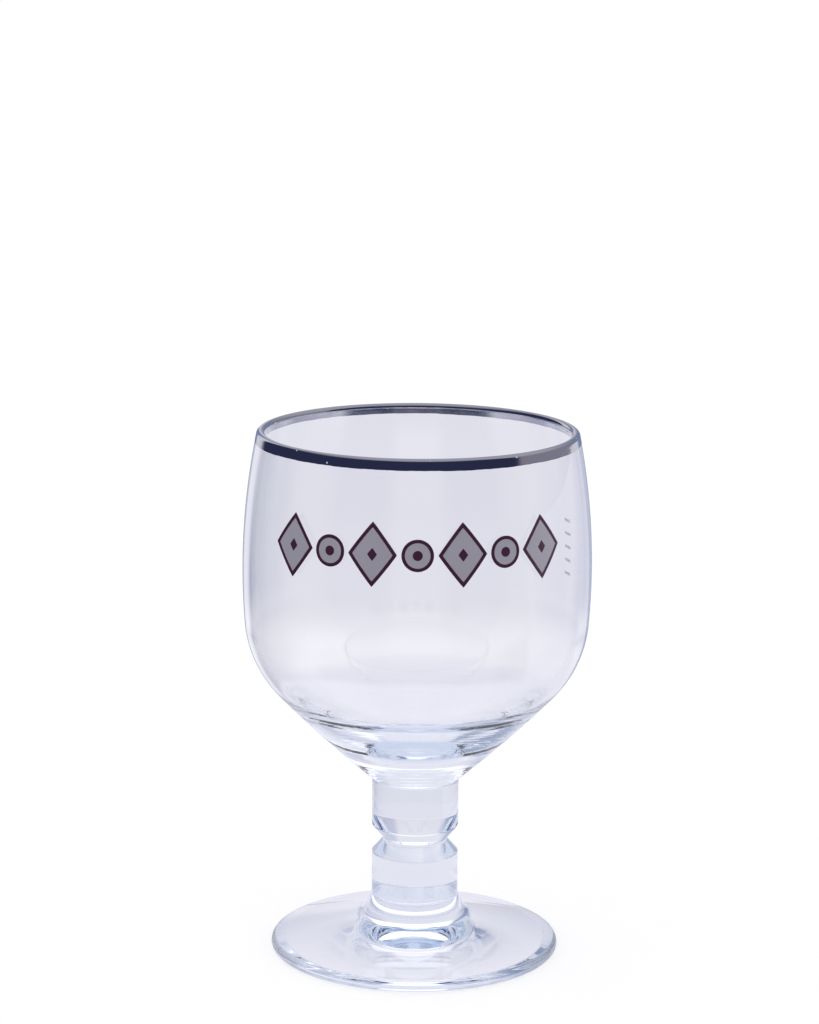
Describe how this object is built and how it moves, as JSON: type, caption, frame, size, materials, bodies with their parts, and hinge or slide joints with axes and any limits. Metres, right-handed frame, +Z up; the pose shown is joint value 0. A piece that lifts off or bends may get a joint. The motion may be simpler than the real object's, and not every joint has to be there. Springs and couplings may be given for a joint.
{
  "type": "chalice beer glass",
  "caption": "Stemmed chalice beer glass with a deep rounded bowl, a metal band on the lip, a printed frieze, a grooved solid stem and a disc foot.",
  "frame": {"origin": "centre of the plane that the foot rests on", "axes": "+Z up along the glass's axis of revolution, -Y towards the front, where the frieze is"},
  "size_m": [0.095, 0.095, 0.1459],
  "materials": {
    "clear_glass": "polished clear glass with a faint cool tint",
    "rim_metal": "thin fired metal film, mirror bright",
    "grey_enamel": "fired grey enamel print, satin",
    "dark_enamel": "fired dark wine-coloured enamel print, satin",
    "pale_enamel": "fired pale enamel print, satin"
  },
  "bodies": {
    "root": {"bowl": "clear_glass", "stem": "clear_glass", "foot": "clear_glass", "rim_band": "rim_metal", "print_fill": "grey_enamel", "print_outline": "dark_enamel", "level_marks": "pale_enamel"}
  },
  "joints": []
}
